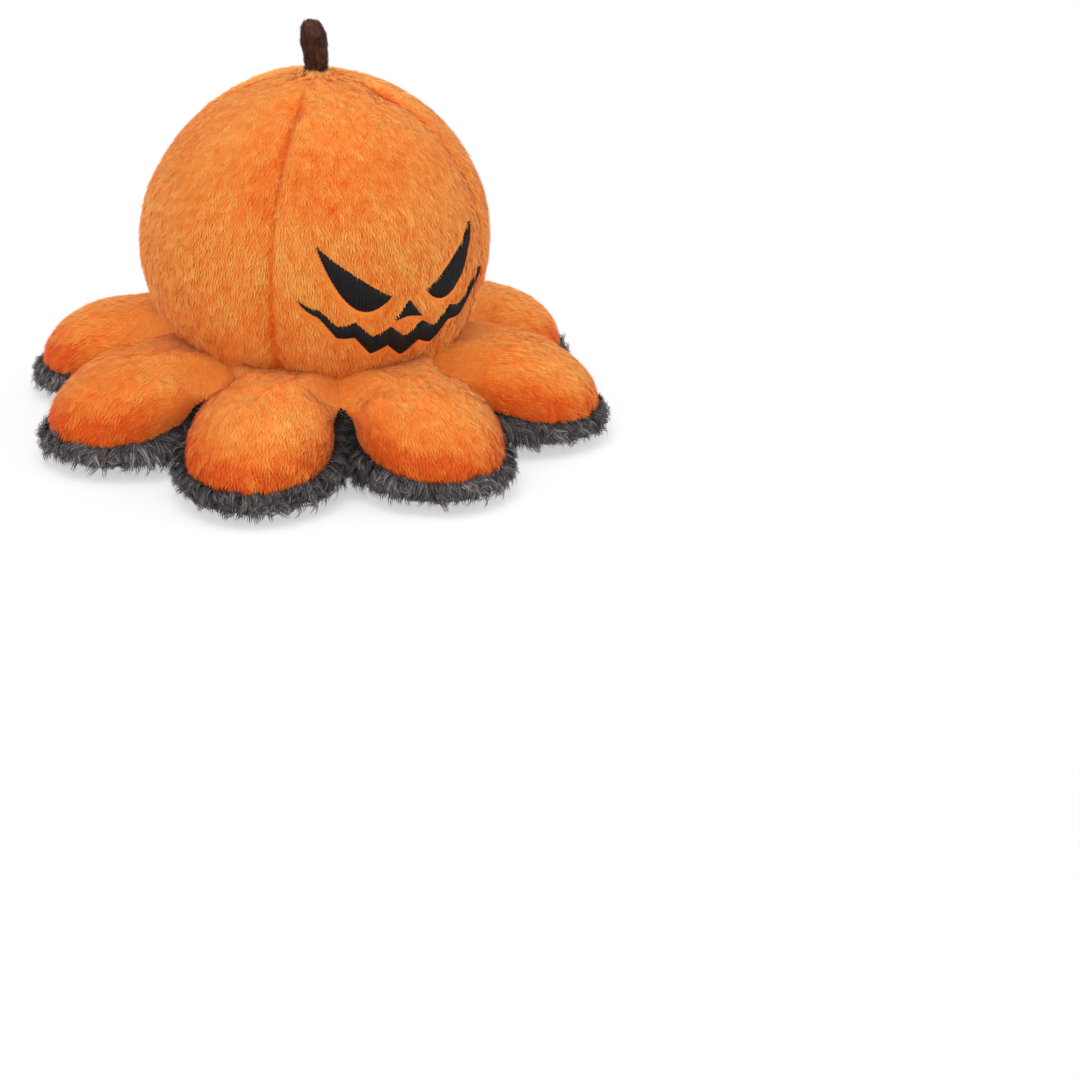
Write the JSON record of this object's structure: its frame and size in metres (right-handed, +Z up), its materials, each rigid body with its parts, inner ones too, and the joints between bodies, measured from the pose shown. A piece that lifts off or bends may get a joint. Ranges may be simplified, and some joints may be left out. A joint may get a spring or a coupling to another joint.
{
  "type": "reversible plush pumpkin",
  "caption": "Domed plush pumpkin on plump petal legs, with a hollow fur-lined inside, so it can be turned inside out into a grey spider.",
  "frame": {"origin": "centre of the footprint, on the floor", "axes": "+Z up, the pumpkin's face towards -Y, its right cheek as seen towards +X"},
  "size_m": [0.206, 0.206, 0.1413],
  "materials": {
    "orange_plush": "short pile",
    "grey_fur": "long pile",
    "brown_plush": "short pile",
    "black_thread": "satin stitch",
    "white_thread": "twisted thread",
    "fibre_fill": "loose fibre"
  },
  "bodies": {
    "body": {"dome_gore_front": "orange_plush", "lining_gore_front": "grey_fur", "dome_gore_right": "orange_plush", "lining_gore_right": "grey_fur", "dome_gore_back": "orange_plush", "lining_gore_back": "grey_fur", "dome_gore_left": "orange_plush", "lining_gore_left": "grey_fur", "dome_stuffing": "fibre_fill", "crown_tack": "white_thread", "skirt_ring_top": "orange_plush", "skirt_ring_sole": "grey_fur", "face_eye_left": "black_thread", "face_eye_right": "black_thread", "face_nose": "black_thread", "face_grin": "black_thread", "spider_eye_low_left": "black_thread", "spider_eye_low_right": "black_thread", "spider_eye_middle_left": "black_thread", "spider_eye_middle_right": "black_thread", "spider_eye_outer_left": "black_thread", "spider_eye_outer_right": "black_thread", "spider_eye_high_left": "black_thread", "spider_eye_high_right": "black_thread", "spider_mouth": "black_thread"},
    "leg_front": {"leg_front_cover": "orange_plush", "leg_front_sole": "grey_fur", "leg_front_stuffing": "fibre_fill"},
    "leg_front_right": {"leg_front_right_cover": "orange_plush", "leg_front_right_sole": "grey_fur", "leg_front_right_stuffing": "fibre_fill"},
    "leg_right": {"leg_right_cover": "orange_plush", "leg_right_sole": "grey_fur", "leg_right_stuffing": "fibre_fill"},
    "leg_back_right": {"leg_back_right_cover": "orange_plush", "leg_back_right_sole": "grey_fur", "leg_back_right_stuffing": "fibre_fill"},
    "leg_back": {"leg_back_cover": "orange_plush", "leg_back_sole": "grey_fur", "leg_back_stuffing": "fibre_fill"},
    "leg_back_left": {"leg_back_left_cover": "orange_plush", "leg_back_left_sole": "grey_fur", "leg_back_left_stuffing": "fibre_fill"},
    "leg_left": {"leg_left_cover": "orange_plush", "leg_left_sole": "grey_fur", "leg_left_stuffing": "fibre_fill"},
    "leg_front_left": {"leg_front_left_cover": "orange_plush", "leg_front_left_sole": "grey_fur", "leg_front_left_stuffing": "fibre_fill"},
    "stem": {"stem_cover": "brown_plush", "stem_stuffing": "fibre_fill"}
  },
  "joints": [
    {"name": "leg_front_fold", "type": "hinge", "parent": "body", "child": "leg_front", "pos_m": [0, -0.05696, 0.026], "axis": [-1, 0, 0], "range_deg": [-12, 30], "stiffness_Nm_per_rad": 0.02},
    {"name": "leg_front_right_fold", "type": "hinge", "parent": "body", "child": "leg_front_right", "pos_m": [0.04028, -0.04028, 0.026], "axis": [-0.7071, -0.7071, 0], "range_deg": [-12, 30], "stiffness_Nm_per_rad": 0.02},
    {"name": "leg_right_fold", "type": "hinge", "parent": "body", "child": "leg_right", "pos_m": [0.05696, 0, 0.026], "axis": [0, -1, 0], "range_deg": [-12, 30], "stiffness_Nm_per_rad": 0.02},
    {"name": "leg_back_right_fold", "type": "hinge", "parent": "body", "child": "leg_back_right", "pos_m": [0.04028, 0.04028, 0.026], "axis": [0.7071, -0.7071, 0], "range_deg": [-12, 30], "stiffness_Nm_per_rad": 0.02},
    {"name": "leg_back_fold", "type": "hinge", "parent": "body", "child": "leg_back", "pos_m": [0, 0.05696, 0.026], "axis": [1, 0, 0], "range_deg": [-12, 30], "stiffness_Nm_per_rad": 0.02},
    {"name": "leg_back_left_fold", "type": "hinge", "parent": "body", "child": "leg_back_left", "pos_m": [-0.04028, 0.04028, 0.026], "axis": [0.7071, 0.7071, 0], "range_deg": [-12, 30], "stiffness_Nm_per_rad": 0.02},
    {"name": "leg_left_fold", "type": "hinge", "parent": "body", "child": "leg_left", "pos_m": [-0.05696, 0, 0.026], "axis": [0, 1, 0], "range_deg": [-12, 30], "stiffness_Nm_per_rad": 0.02},
    {"name": "leg_front_left_fold", "type": "hinge", "parent": "body", "child": "leg_front_left", "pos_m": [-0.04028, -0.04028, 0.026], "axis": [-0.7071, 0.7071, 0], "range_deg": [-12, 30], "stiffness_Nm_per_rad": 0.02},
    {"name": "stem_bend", "type": "hinge", "parent": "body", "child": "stem", "pos_m": [0, 0, 0.1291], "axis": [1, 0, 0], "range_deg": [-25, 25], "stiffness_Nm_per_rad": 0.001}
  ]
}
